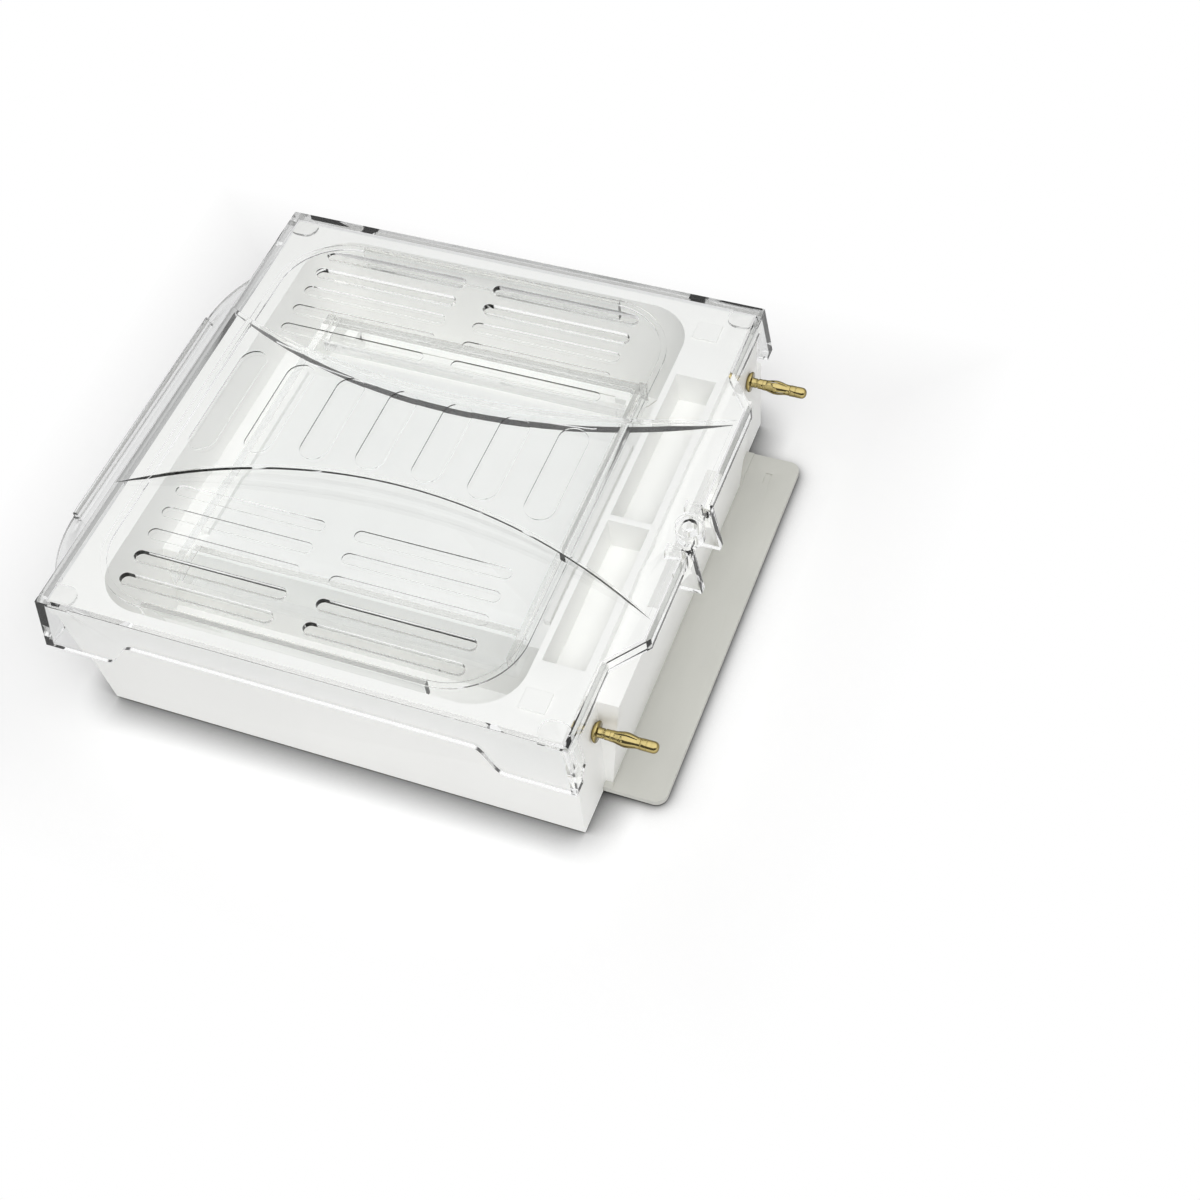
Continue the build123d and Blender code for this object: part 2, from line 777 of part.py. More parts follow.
for side, name in ((-1, "front_dam"), (1, "back_dam")):
    y_outer = side * tray_half
    y_inner = side * (tray_half - dam_width)
    with BuildPart() as dam:
        slab(-tray_left + tray_wall + dam_gap, tray_right - tray_wall - dam_gap,
             min(y_outer, y_inner), max(y_outer, y_inner), tray_floor_z, tray_floor_z + dam_height)
        chamfer(dam.faces().sort_by(Axis.Z)[-1].edges(), dam_chamfer)
    save(dam.part, name)


# Plugs: flange, collar, core, tip and threaded tail in one turned piece

spring_start = plug_start + flange_thickness + neck_length
spring_end = spring_start + spring_length


def plug_profile():
    """Half section of a plug along its axis."""
    with BuildSketch(Plane.XY) as profile:
        with BuildLine():
            Polyline(
                (tail_end, 0), (tail_end, tail_radius), (plug_start, tail_radius),
                (plug_start, flange_radius - flange_taper),
                (plug_start + flange_taper, flange_radius),
                (plug_start + flange_thickness, flange_radius),
                (plug_start + flange_thickness, neck_radius), (spring_start, neck_radius),
                (spring_start, core_radius), (spring_end, core_radius),
                (spring_end, plug_radius), (plug_reach, plug_radius), (plug_reach, 0),
                close=True,
            )
        make_face()
        fillet(profile.vertices().sort_by(Axis.X)[-2:].sort_by(Axis.Y)[-1], tip_round)
    return profile.sketch


def spring_profile():
    """Half section of the leaf spring: plain rings at both ends, bulged between them."""
    outer = spring_ring_radius
    inner = spring_ring_radius - leaf_wall
    left = spring_start + thread_gap
    right = spring_end - thread_gap
    bulge_left = left + spring_ring
    bulge_right = right - spring_ring
    middle = (left + right) / 2
    with BuildSketch(Plane.XY) as profile:
        with BuildLine():
            Polyline((bulge_left, inner), (left, inner), (left, outer), (bulge_left, outer))
            ThreePointArc((bulge_left, outer), (middle, outer + leaf_bulge), (bulge_right, outer))
            Polyline((bulge_right, outer), (right, outer), (right, inner), (bulge_right, inner))
            ThreePointArc((bulge_right, inner), (middle, inner + leaf_bulge), (bulge_left, inner))
        make_face()
    return profile.sketch


def turned(sketch, side):
    """Turn a half section about the axis of the plug on the given side."""
    with BuildPart() as piece:
        revolve(sketch, axis=Axis.X)
    return Pos(centre_x, side * plug_y, plug_z) * piece.part


def nut_plan(x, side):
    """Hexagon with its hole, across the plug's tail."""
    with BuildSketch(pin_plane(x, side * plug_y, plug_z)) as plan:
        RegularPolygon(nut_across / 2, 6, major_radius=False)
        Circle(tail_radius + thread_gap, mode=Mode.SUBTRACT)
    return plan.sketch


def ring_plan(x, y, z, outer, inner):
    """Flat ring across a pin."""
    with BuildSketch(pin_plane(x, y, z)) as plan:
        Circle(outer)
        Circle(inner, mode=Mode.SUBTRACT)
    return plan.sketch


def strip_plan(side):
    """Connecting strip with a hole for the tail and one for the post."""
    middle_z = (plug_z + post_z) / 2
    with BuildSketch(pin_plane(strip_x, side * plug_y, middle_z)) as plan:
        Rectangle(strip_width, plug_z - post_z + 2 * strip_margin)
        with Locations((0, plug_z - middle_z)):
            Circle(tail_radius + thread_gap, mode=Mode.SUBTRACT)
        with Locations((0, post_z - middle_z)):
            Circle(post_radius + thread_gap, mode=Mode.SUBTRACT)
    return plan.sketch


def make_electrode(side, pole):
    """All pieces of one electrode, from the plug outside to the wire in the reservoir."""
    y = side * plug_y
    save(turned(plug_profile(), side), f"{pole}_plug")

    with BuildPart() as spring:
        revolve(spring_profile(), axis=Axis.X)
        slot_length = spring_length - 2 * thread_gap - 2 * spring_ring
        with Locations(((spring_start + spring_end) / 2, 0, 0)):
            for turn in range(leaf_slots // 2):
                Box(slot_length, slot_width, 2 * flange_radius,
                    rotation=(90 * turn, 0, 0), mode=Mode.SUBTRACT)
    save(Pos(centre_x, y, plug_z) * spring.part, f"{pole}_spring")

    with BuildPart() as nuts:
        extrude(nut_plan(pocket_right - washer_thickness - nut_thickness, side),
                amount=nut_thickness)
        extrude(nut_plan(strip_x - nut_thickness, side), amount=nut_thickness)
        extrude(nut_plan(strip_x + strip_thickness, side), amount=nut_thickness)
    save(nuts.part, f"{pole}_nuts")

    with BuildPart() as washer:
        extrude(ring_plan(pocket_right - washer_thickness, y, plug_z, washer_radius,
                          tail_radius + thread_gap), amount=washer_thickness)
    save(washer.part, f"{pole}_washer")

    with BuildPart() as strip:
        extrude(strip_plan(side), amount=strip_thickness)
    save(strip.part, f"{pole}_strip")

    with BuildPart() as post:
        with BuildSketch(pin_plane(post_inner, y, post_z)):
            Circle(post_radius)
        extrude(amount=post_outer - post_inner)
    save(post.part, f"{pole}_post")

    with BuildPart() as seal:
        extrude(ring_plan(pocket_left, y, post_z, seal_radius, post_radius + thread_gap),
                amount=seal_length)
    save(seal.part, f"{pole}_seal")

    start = Vector(centre_x + post_inner, y, post_z)
    with BuildPart() as wire:
        with BuildLine():
            FilletPolyline(
                start, start - Vector(wire_lead, 0, 0),
                (centre_x + wire_right, y, wire_z), (centre_x + wire_left, y, wire_z),
                radius=wire_bend,
            )
        with BuildSketch(Plane(origin=start, z_dir=(-1, 0, 0))):
            Circle(wire_radius)
        sweep()
    save(wire.part, f"{pole}_wire")

    with BuildPart() as holders:
        for x in (holder_left, holder_right):
            slab(x, x + holder_length, y - holder_width / 2, y + holder_width / 2,
                 reservoir_floor_z, reservoir_floor_z + holder_height)
        with BuildSketch(pin_plane(holder_left, y, wire_z)):
            Circle(holder_hole)
        extrude(amount=holder_right - holder_left + holder_length, mode=Mode.SUBTRACT)
    save(holders.part, f"{pole}_holders")

    with BuildPart() as cap:
        with BuildSketch(level(rim_z)):
            with Locations((cap_x, side * cap_y)):
                Rectangle(cap_length, cap_width)
        extrude(amount=cap_plate)
        with BuildSketch(level(rim_z)):
            with Locations((cap_x, side * cap_y)):
                Rectangle(cap_length - 2 * cap_margin - 2 * cap_gap,
                          cap_width - 2 * cap_margin - 2 * cap_gap)
        extrude(amount=-wall)
    save(cap.part, f"{pole}_cap")


make_electrode(-1, "anode")
make_electrode(1, "cathode")
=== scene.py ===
"""Looks for the horizontal electrophoresis tank: white tank, clear lid, gold plugs, pale studio."""

import math

import bmesh
import bpy
from mathutils import Matrix, Vector


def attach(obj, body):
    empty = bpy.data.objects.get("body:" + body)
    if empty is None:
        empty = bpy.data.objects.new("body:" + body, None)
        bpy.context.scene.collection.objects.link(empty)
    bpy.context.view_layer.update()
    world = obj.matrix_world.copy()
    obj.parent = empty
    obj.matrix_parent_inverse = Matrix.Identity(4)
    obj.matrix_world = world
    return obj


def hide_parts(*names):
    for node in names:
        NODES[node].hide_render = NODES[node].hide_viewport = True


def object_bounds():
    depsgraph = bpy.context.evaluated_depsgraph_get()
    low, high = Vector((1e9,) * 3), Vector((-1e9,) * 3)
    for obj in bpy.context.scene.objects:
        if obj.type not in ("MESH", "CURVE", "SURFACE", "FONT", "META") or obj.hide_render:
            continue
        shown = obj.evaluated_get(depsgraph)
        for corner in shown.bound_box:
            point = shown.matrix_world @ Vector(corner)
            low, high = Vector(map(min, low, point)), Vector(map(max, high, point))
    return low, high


bl_info = {
    "name": "Electrophoresis Tank Dresser",
    "version": (1, 0, 0),
    "blender": (4, 5, 0),
    "location": "View3D > Sidebar > Gel Tank",
    "description": "Dresses the packed tank with rounded mouldings, plugs, wires and materials",
    "category": "Object",
}

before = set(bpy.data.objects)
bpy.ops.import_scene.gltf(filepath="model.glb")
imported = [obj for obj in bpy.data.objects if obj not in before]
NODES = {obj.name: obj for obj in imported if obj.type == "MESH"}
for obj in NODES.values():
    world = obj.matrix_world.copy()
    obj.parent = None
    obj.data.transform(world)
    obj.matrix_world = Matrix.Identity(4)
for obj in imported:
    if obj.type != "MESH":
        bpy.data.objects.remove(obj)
CAD_BOX = [list(corner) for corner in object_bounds()]
MM = 0.001
POLES = ("anode", "cathode")
# the lid's flat top in millimetres: its left edge, half depth and height
LID_LEFT, LID_HALF, LID_TOP = -94.5, 96.8, 57.0
# its right edge at the corners and where it steps out, in millimetres
LID_RIGHT, LID_STEP = 91.9, 101.9
# distance from the middle, in millimetres, where the corners and the stepped-out part begin
CORNER_FROM, STEP_FROM = 63.0, 19.0
SKIRT_FLARE = 0.1    # how far the lid's skirts lean out for each unit of height
# points closer than this are one, and faces that turn less than this many degrees are flat
MERGE, FLAT_ANGLE = 0.002 * MM, 0.5
# edges that turn more than this many degrees are rounded, or stay sharp on a turned piece
ROUNDED_ANGLE, SHARP_ANGLE = 28.0, 35.0


# Sizes and colours

class TankSizes(bpy.types.PropertyGroup):
    """Sizes of the details that are added round the CAD solids."""
    body_edge: bpy.props.FloatProperty(
        name="Tank edge", description="Rounding of the white moulding's edges",
        default=0.7 * MM, min=0.0, unit="LENGTH", precision=5)
    lid_edge: bpy.props.FloatProperty(
        name="Lid edge", description="Rounding of the clear moulding's edges",
        default=0.25 * MM, min=0.0, unit="LENGTH", precision=5)
    plate_edge: bpy.props.FloatProperty(
        name="Plate edge", description="Rounding of the dock plate's edges",
        default=0.3 * MM, min=0.0, unit="LENGTH", precision=5)
    small_edge: bpy.props.FloatProperty(
        name="Small edge", description="Rounding of the small inner pieces",
        default=0.2 * MM, min=0.0, unit="LENGTH", precision=5)
    dam_gap: bpy.props.FloatProperty(
        name="Dam gap", description="Air left round each dam, so that it reads as a bar",
        default=0.06 * MM, min=0.0, unit="LENGTH", precision=5)
    slot_middle: bpy.props.FloatProperty(
        name="Leaf slot", description="Width of the plug springs' slots at their middle",
        default=0.5 * MM, min=0.0, unit="LENGTH", precision=5)
    slot_end: bpy.props.FloatProperty(
        name="Leaf slot end", description="Width of the plug springs' slots at their ends",
        default=0.2 * MM, min=0.0, unit="LENGTH", precision=5)


class TankColours(bpy.types.PropertyGroup):
    """Colours of the finishes."""
    white: bpy.props.FloatVectorProperty(
        name="White plastic", description="Colour of the tank moulding", subtype="COLOR",
        size=4, min=0.0, max=1.0, default=(0.95, 0.95, 0.93, 1.0))
    clear: bpy.props.FloatVectorProperty(
        name="Clear plastic", description="Tint of the lid, tray and dams", subtype="COLOR",
        size=4, min=0.0, max=1.0, default=(0.994, 0.998, 0.998, 1.0))
    plate: bpy.props.FloatVectorProperty(
        name="Dock plate", description="Colour of the dock plate", subtype="COLOR",
        size=4, min=0.0, max=1.0, default=(0.57, 0.57, 0.53, 1.0))
    gold: bpy.props.FloatVectorProperty(
        name="Gold plating", description="Colour of the plugs", subtype="COLOR",
        size=4, min=0.0, max=1.0, default=(0.76, 0.62, 0.27, 1.0))
    steel: bpy.props.FloatVectorProperty(
        name="Steel", description="Colour of nuts, strips and screws", subtype="COLOR",
        size=4, min=0.0, max=1.0, default=(0.62, 0.62, 0.60, 1.0))
    platinum: bpy.props.FloatVectorProperty(
        name="Platinum", description="Colour of the electrode wires", subtype="COLOR",
        size=4, min=0.0, max=1.0, default=(0.76, 0.74, 0.71, 1.0))
    rubber: bpy.props.FloatVectorProperty(
        name="Rubber", description="Colour of the feet and seals", subtype="COLOR",
        size=4, min=0.0, max=1.0, default=(0.035, 0.035, 0.037, 1.0))
    floor: bpy.props.FloatVectorProperty(
        name="Floor", description="Colour of the studio floor", subtype="COLOR",
        size=4, min=0.0, max=1.0, default=(0.99, 0.99, 0.99, 1.0))


def sizes():
    """The scene's sizes."""
    return bpy.context.scene.tank_sizes


def colours():
    """The scene's colours."""
    return bpy.context.scene.tank_colours


# Shader node groups

# between which noise values the tone turns lighter and the surface turns rougher
TONE_RANGE, WEAR_RANGE = (0.35, 0.65), (0.5, 0.85)
# scale of the fine specks, and their share beside the broad smudges
SPECK_SCALE, SPECK_SHARE = 900.0, 0.3


def new_group(name, inputs, outputs):
    """An empty shader group with named sockets, its input node and its output node."""
    group = bpy.data.node_groups.new(name, "ShaderNodeTree")
    for label, kind, default in inputs:
        socket = group.interface.new_socket(label, in_out="INPUT", socket_type=kind)
        socket.default_value = default
    for label, kind in outputs:
        group.interface.new_socket(label, in_out="OUTPUT", socket_type=kind)
    return group, group.nodes.new("NodeGroupInput"), group.nodes.new("NodeGroupOutput")


def feed(tree, socket, given):
    """Puts a number, a colour or another node's output into a socket."""
    if hasattr(given, "is_linked"):
        tree.links.new(given, socket)
    else:
        socket.default_value = given


def noise(tree, vector, scale, detail, roughness=0.5):
    """Noise texture whose scale is a number or a socket."""
    node = tree.nodes.new("ShaderNodeTexNoise")
    node.inputs["Detail"].default_value = detail
    node.inputs["Roughness"].default_value = roughness
    tree.links.new(vector, node.inputs["Vector"])
    feed(tree, node.inputs["Scale"], scale)
    return node.outputs["Fac"]


def map_range(tree, value, low, high, to_low, to_high):
    """Map Range node; the last four are numbers or sockets."""
    node = tree.nodes.new("ShaderNodeMapRange")
    tree.links.new(value, node.inputs["Value"])
    labels = ("From Min", "From Max", "To Min", "To Max")
    for label, given in zip(labels, (low, high, to_low, to_high)):
        feed(tree, node.inputs[label], given)
    return node.outputs["Result"]


def fade(tree, value, start, run, strength=1.0):
    """Rises from 0 at start to strength a run further on; a negative run rises downwards."""
    return map_range(tree, value, start, start + run, 0.0, strength)


def math_node(tree, operation, *values):
    """Math node on sockets or numbers."""
    node = tree.nodes.new("ShaderNodeMath")
    node.operation = operation
    for socket, given in zip(node.inputs, values):
        feed(tree, socket, given)
    return node.outputs[0]


def mix_colour(tree, amount, first, second):
    """Colour between two colours or sockets."""
    node = tree.nodes.new("ShaderNodeMix")
    node.data_type = "RGBA"
    for socket, given in zip((node.inputs[0], *node.inputs[6:8]), (amount, first, second)):
        feed(tree, socket, given)
    return node.outputs[2]


def split_axes(tree, vector):
    """X, Y and Z of a vector."""
    node = tree.nodes.new("ShaderNodeSeparateXYZ")
    tree.links.new(vector, node.inputs[0])
    return [node.outputs[axis] for axis in "XYZ"]


def stretched(tree, vector, scale):
    """Vector stretched along the axes by a Mapping node."""
    node = tree.nodes.new("ShaderNodeMapping")
    node.inputs["Scale"].default_value = scale
    tree.links.new(vector, node.inputs["Vector"])
    return node.outputs["Vector"]


def make_mottle_group():
    """Slow change of tone, as in a moulding or a sheet: a colour a little lighter and darker."""
    group, source, result = new_group(
        "Tone Mottle",
        [("Vector", "NodeSocketVector", (0, 0, 0)), ("Scale", "NodeSocketFloat", 30.0),
         ("Dark", "NodeSocketColor", (0.5, 0.5, 0.5, 1)),
         ("Light", "NodeSocketColor", (1, 1, 1, 1))],
        [("Color", "NodeSocketColor")])
    clouds = noise(group, source.outputs["Vector"], source.outputs["Scale"], 4.0)
    tone = mix_colour(group, map_range(group, clouds, *TONE_RANGE, 0.0, 1.0),
                      source.outputs["Dark"], source.outputs["Light"])
    group.links.new(tone, result.inputs["Color"])
    return group


def make_smudge_group():
    """Roughness that rises in soft smudges, with fine specks of dust."""
    group, source, result = new_group(
        "Handling Smudges",
        [("Vector", "NodeSocketVector", (0, 0, 0)), ("Smooth", "NodeSocketFloat", 0.2),
         ("Worn", "NodeSocketFloat", 0.4), ("Scale", "NodeSocketFloat", 25.0)],
        [("Roughness", "NodeSocketFloat")])
    vector = source.outputs["Vector"]
    broad = noise(group, vector, source.outputs["Scale"], 3.0, 0.6)
    fine = noise(group, vector, SPECK_SCALE, 2.0)
    both = math_node(group, "MULTIPLY_ADD", fine, SPECK_SHARE, broad)
    rough = map_range(group, both, *WEAR_RANGE, source.outputs["Smooth"], source.outputs["Worn"])
    group.links.new(rough, result.inputs["Roughness"])
    return group


def make_grain_group():
    """Height of a fine moulded or blasted grain over a slow waviness."""
    group, source, result = new_group(
        "Surface Grain",
        [("Vector", "NodeSocketVector", (0, 0, 0)), ("Grain Scale", "NodeSocketFloat", 1500.0),
         ("Grain", "NodeSocketFloat", 0.5), ("Wave Scale", "NodeSocketFloat", 15.0),
         ("Wave", "NodeSocketFloat", 0.5)],
        [("Height", "NodeSocketFloat")])
    vector = source.outputs["Vector"]
    grain = math_node(group, "MULTIPLY", source.outputs["Grain"],
                      noise(group, vector, source.outputs["Grain Scale"], 2.0))
    wave = math_node(group, "MULTIPLY", source.outputs["Wave"],
                     noise(group, vector, source.outputs["Wave Scale"], 1.0))
    group.links.new(math_node(group, "ADD", grain, wave), result.inputs["Height"])
    return group


def build_groups():
    """Makes the shared effects once."""
    makers = {"Tone Mottle": make_mottle_group, "Handling Smudges": make_smudge_group,
              "Surface Grain": make_grain_group}
    for name, maker in makers.items():
        if name not in bpy.data.node_groups:
            maker()


# Materials

BUMP_DEPTH = 0.1 * MM
# painted shade on the gold: its colour where it turns away from the eye,
# and how far turned away that begins and ends
GOLD_EDGE_SHADE, GOLD_TURN = (0.17, 0.125, 0.03, 1.0), (0.08, 0.6)
# index of refraction of the lid, and the lower one that keeps the tray and dams faint
CLEAR_IOR, FAINT_IOR = 1.53, 1.2
# tint of the light that goes straight through the clear plastic
STRAIGHT_TINT = (0.995, 0.998, 0.998, 1.0)
# light that has bounced more often than this goes straight through the lid's front skirt
SKIRT_BOUNCES = 4.5
# where the front skirt begins inside the flat top's edge, and how softly, in millimetres
SKIRT_WIDE, SKIRT_SOFT = 3.0, 0.5
# The lid's painted shade along its edges, in millimetres: how deep it reaches under the flat top,
# and how wide the back and left walls, the right wall and the front left corner are
EDGE_DEPTH, WALL_WIDE, RIGHT_WIDE, CORNER_WIDE = 1.2, 1.7, 1.6, 0.6
# how softly the walls, the depth and the corner, and the parts of the right wall begin
WALL_SOFT, THIN_SOFT, PART_SOFT = 0.4, 0.3, 1.0
# the painted shade's colour, and how much of it the left wall, the right wall and the corner take
EDGE_SHADE_COLOUR = (0.1, 0.115, 0.1, 1.0)
LEFT_SHADE, RIGHT_SHADE, CORNER_SHADE = 0.3, 0.6, 0.8
# how much of it the back wall takes at its left end and further right, that many millimetres on
BACK_SHADE, BACK_RUN = (0.25, 0.8), 110.0
# patches along the back wall that take less: scale, noise values between which, and how little
PATCH_SCALE, PATCH_RANGE, PATCH_SHADE = 45.0, (0.4, 0.6), 0.6


def place_group(tree, name, vector, **values):
    """A shared effect in a material, with its own values."""
    node = tree.nodes.new("ShaderNodeGroup")
    node.node_tree = bpy.data.node_groups[name]
    tree.links.new(vector, node.inputs["Vector"])
    for label, value in values.items():
        node.inputs[label.replace("_", " ")].default_value = value
    return node.outputs[0]


def shade(colour, factor):
    """A colour made darker or lighter."""
    return (*[min(1.0, part * factor) for part in colour[:3]], 1.0)


def finish_material(name, colour, tone, tone_scale, rough, smudge_scale, bump, grain_scale,
                    grain=0.5, wave=0.5, wave_scale=15.0, stretch=None, metallic=0.0,
                    transmission=0.0, ior=1.5):
    """Principled material with mottled colour, smudged roughness and a fine grain."""
    if name in bpy.data.materials:
        return bpy.data.materials[name]
    build_groups()
    material = bpy.data.materials.new(name)
    material.use_nodes = True
    tree = material.node_tree
    shader = tree.nodes["Principled BSDF"]
    vector = tree.nodes.new("ShaderNodeTexCoord").outputs["Object"]
    if stretch:
        vector = stretched(tree, vector, stretch)
    colour_out = place_group(tree, "Tone Mottle", vector, Scale=tone_scale,
                             Dark=shade(colour, 1.0 - tone), Light=shade(colour, 1.0 + tone))
    rough_out = place_group(tree, "Handling Smudges", vector, Smooth=rough[0], Worn=rough[1],
                            Scale=smudge_scale)
    height_out = place_group(tree, "Surface Grain", vector, Grain_Scale=grain_scale, Grain=grain,
                             Wave=wave, Wave_Scale=wave_scale)
    bump_node = tree.nodes.new("ShaderNodeBump")
    bump_node.inputs["Strength"].default_value = bump
    bump_node.inputs["Distance"].default_value = BUMP_DEPTH
    tree.links.new(height_out, bump_node.inputs["Height"])
    tree.links.new(colour_out, shader.inputs["Base Color"])
    tree.links.new(rough_out, shader.inputs["Roughness"])
    tree.links.new(bump_node.outputs["Normal"], shader.inputs["Normal"])
    shader.inputs["Metallic"].default_value = metallic
    shader.inputs["Transmission Weight"].default_value = transmission
    shader.inputs["IOR"].default_value = ior
    return material


def white_plastic():
    """Satin white moulding."""
    return finish_material("White moulding", colours().white, tone=0.012, tone_scale=18.0,
                           rough=(0.32, 0.42), smudge_scale=14.0, bump=0.25, grain_scale=2200.0,
                           grain=0.25, wave=0.6, wave_scale=12.0)


def paint_edge_shade(tree):
    """Painted shade: the glass's colour is darker where one looks down into the lid's walls
    and at its front left corner.
    """
    left, half, top = LID_LEFT * MM, LID_HALF * MM, LID_TOP * MM
    place = tree.nodes["Texture Coordinate"].outputs["Object"]
    x, y, z = split_axes(tree, place)
    upper = fade(tree, z, top - EDGE_DEPTH * MM, THIN_SOFT * MM)
    back = fade(tree, y, half - WALL_WIDE * MM, WALL_SOFT * MM)
    along = map_range(tree, x, left, left + BACK_RUN * MM, *BACK_SHADE)
    clouds = noise(tree, stretched(tree, place, (1.0, 0.0, 0.0)), PATCH_SCALE, 2.0)
    patches = map_range(tree, clouds, *PATCH_RANGE, PATCH_SHADE, 1.0)
    back = math_node(tree, "MULTIPLY", math_node(tree, "MULTIPLY", back, along), patches)
    side = fade(tree, x, left + WALL_WIDE * MM, -WALL_SOFT * MM, LEFT_SHADE)
    spread = math_node(tree, "ABSOLUTE", y)
    for edge, begins in ((LID_RIGHT, CORNER_FROM), (LID_STEP, STEP_FROM)):
        wall = fade(tree, x, (edge - RIGHT_WIDE) * MM, WALL_SOFT * MM, RIGHT_SHADE)
        part = fade(tree, spread, begins * MM, PART_SOFT * MM)
        side = math_node(tree, "MAXIMUM", side, math_node(tree, "MULTIPLY", wall, part))
    walls = math_node(tree, "MULTIPLY", math_node(tree, "MAXIMUM", back, side), upper)
    flare = math_node(tree, "MULTIPLY_ADD", z, -SKIRT_FLARE, SKIRT_FLARE * top)
    edge_x, edge_y = (math_node(tree, "ADD", axis, flare) for axis in (x, y))
    corner = math_node(
        tree, "MULTIPLY",
        fade(tree, edge_x, left + CORNER_WIDE * MM, -THIN_SOFT * MM, CORNER_SHADE),
        fade(tree, edge_y, CORNER_WIDE * MM - half, -THIN_SOFT * MM))
    # the painted shade is mixed into the glass's base colour
    base = tree.nodes["Principled BSDF"].inputs["Base Color"]
    edge_shaded = mix_colour(tree, math_node(tree, "MAXIMUM", walls, corner),
                        base.links[0].from_socket, EDGE_SHADE_COLOUR)
    tree.links.new(edge_shaded, base)


def clear_plastic(name="Clear moulding", ior=CLEAR_IOR):
    """Clear polished moulding. Light for shadows and from matt faces goes straight through it, and
    so does light that has bounced very often when it meets the lid's front skirt."""
    material = finish_material(name, colours().clear, tone=0.004, tone_scale=20.0,
                               rough=(0.0, 0.004), smudge_scale=22.0, bump=0.002,
                               grain_scale=1800.0, grain=0.02, wave=0.5, wave_scale=20.0,
                               transmission=1.0, ior=ior)
    tree = material.node_tree
    if "Straight through" not in tree.nodes:
        # painted shade along the lid's edges
        paint_edge_shade(tree)
        path = tree.nodes.new("ShaderNodeLightPath")
        through = tree.nodes.new("ShaderNodeBsdfTransparent")
        through.inputs["Color"].default_value = STRAIGHT_TINT
        mix = tree.nodes.new("ShaderNodeMixShader")
        mix.name = "Straight through"
        depth = split_axes(tree, tree.nodes["Texture Coordinate"].outputs["Object"])[1]
        skirt = fade(tree, depth, (SKIRT_WIDE - LID_HALF) * MM, -SKIRT_SOFT * MM)
        trapped = math_node(tree, "GREATER_THAN", path.outputs["Ray Depth"], SKIRT_BOUNCES)
        straight = math_node(tree, "MULTIPLY", skirt, trapped)
        for label in ("Is Shadow Ray", "Is Diffuse Ray"):
            straight = math_node(tree, "MAXIMUM", straight, path.outputs[label])
        tree.links.new(straight, mix.inputs[0])
        tree.links.new(tree.nodes["Principled BSDF"].outputs[0], mix.inputs[1])
        tree.links.new(through.outputs[0], mix.inputs[2])
        tree.links.new(mix.outputs[0], tree.nodes["Material Output"].inputs["Surface"])
    return material


def faint_plastic():
    """Clear sheet of the tray and dams, which hardly shows under the lid."""
    return clear_plastic("Clear sheet", FAINT_IOR)


def plate_grey():
    """Matt grey plate with a fine, slightly drawn grain."""
    return finish_material("Grey plate", colours().plate, tone=0.03, tone_scale=60.0,
                           rough=(0.42, 0.55), smudge_scale=30.0, bump=0.35, grain_scale=900.0,
                           grain=0.8, wave=0.3, stretch=(1.0, 0.35, 1.0))


def gold_plating():
    """Bright gold plating with faint turning lines, and painted shade that darkens it where it
    turns away from the eye.
    """
    material = finish_material("Gold plating", colours().gold, tone=0.05, tone_scale=200.0,
                               rough=(0.06, 0.14), smudge_scale=120.0, bump=0.1,
                               grain_scale=900.0, grain=0.8, wave=0.2, stretch=(4.0, 0.3, 0.3),
                               metallic=1.0)
    tree = material.node_tree
    if "Turned away" not in tree.nodes:
        # painted shade: the gold's colour darkens where it turns away from the eye
        weight = tree.nodes.new("ShaderNodeLayerWeight")
        weight.name = "Turned away"
        base = tree.nodes["Principled BSDF"].inputs["Base Color"]
        gold_shade = map_range(tree, weight.outputs["Facing"], *GOLD_TURN, 0.0, 1.0)
        tree.links.new(mix_colour(tree, gold_shade, base.links[0].from_socket, GOLD_EDGE_SHADE), base)
    return material


def plain_steel():
    """Plain steel."""
    return finish_material("Plain steel", colours().steel, tone=0.06, tone_scale=150.0,
                           rough=(0.24, 0.38), smudge_scale=90.0, bump=0.2, grain_scale=700.0,
                           grain=0.7, stretch=(3.0, 1.0, 0.5), metallic=1.0)


def platinum_wire():
    """Drawn platinum wire."""
    return finish_material("Platinum wire", colours().platinum, tone=0.05, tone_scale=300.0,
                           rough=(0.16, 0.26), smudge_scale=200.0, bump=0.15,
                           grain_scale=1200.0, grain=0.5, stretch=(0.2, 2.0, 2.0), metallic=1.0)


def black_rubber():
    """Matt rubber."""
    return finish_material("Matt rubber", colours().rubber, tone=0.15, tone_scale=90.0,
                           rough=(0.62, 0.8), smudge_scale=60.0, bump=0.5, grain_scale=1100.0,
                           grain=0.9, wave=0.4)


# Making pieces

def add_piece(name, mesh, body, slot, material, *replaced):
    """Links a piece, gives it its finish and lets it ride on its body."""
    piece = bpy.data.objects.new(name, mesh)
    bpy.context.scene.collection.objects.link(piece)
    mesh.materials.clear()
    mesh.materials.append(material)
    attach(piece, body)
    if replaced:
        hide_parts(*replaced)
    return piece


def node_box(node):
    """Lowest and highest corner of a CAD node."""
    corners = [vert.co for vert in NODES[node].data.vertices]
    return (Vector([min(corner[axis] for corner in corners) for axis in range(3)]),
            Vector([max(corner[axis] for corner in corners) for axis in range(3)]))


def node_middle(node):
    """Middle of a CAD node's box."""
    low, high = node_box(node)
    return (low + high) / 2


def smooth_faces(bm, sharp):
    """Smooth faces, with the edges kept sharp that turn more than so many degrees."""
    for face in bm.faces:
        face.smooth = True
    for edge in bm.edges:
        if len(edge.link_faces) == 2:
            edge.smooth = edge.calc_face_angle(0.0) < math.radians(sharp)


def finish_nodes(finishes):
    """Gives carried-over CAD nodes their materials."""
    for node, material in finishes.items():
        NODES[node].data.materials.clear()
        NODES[node].data.materials.append(material)


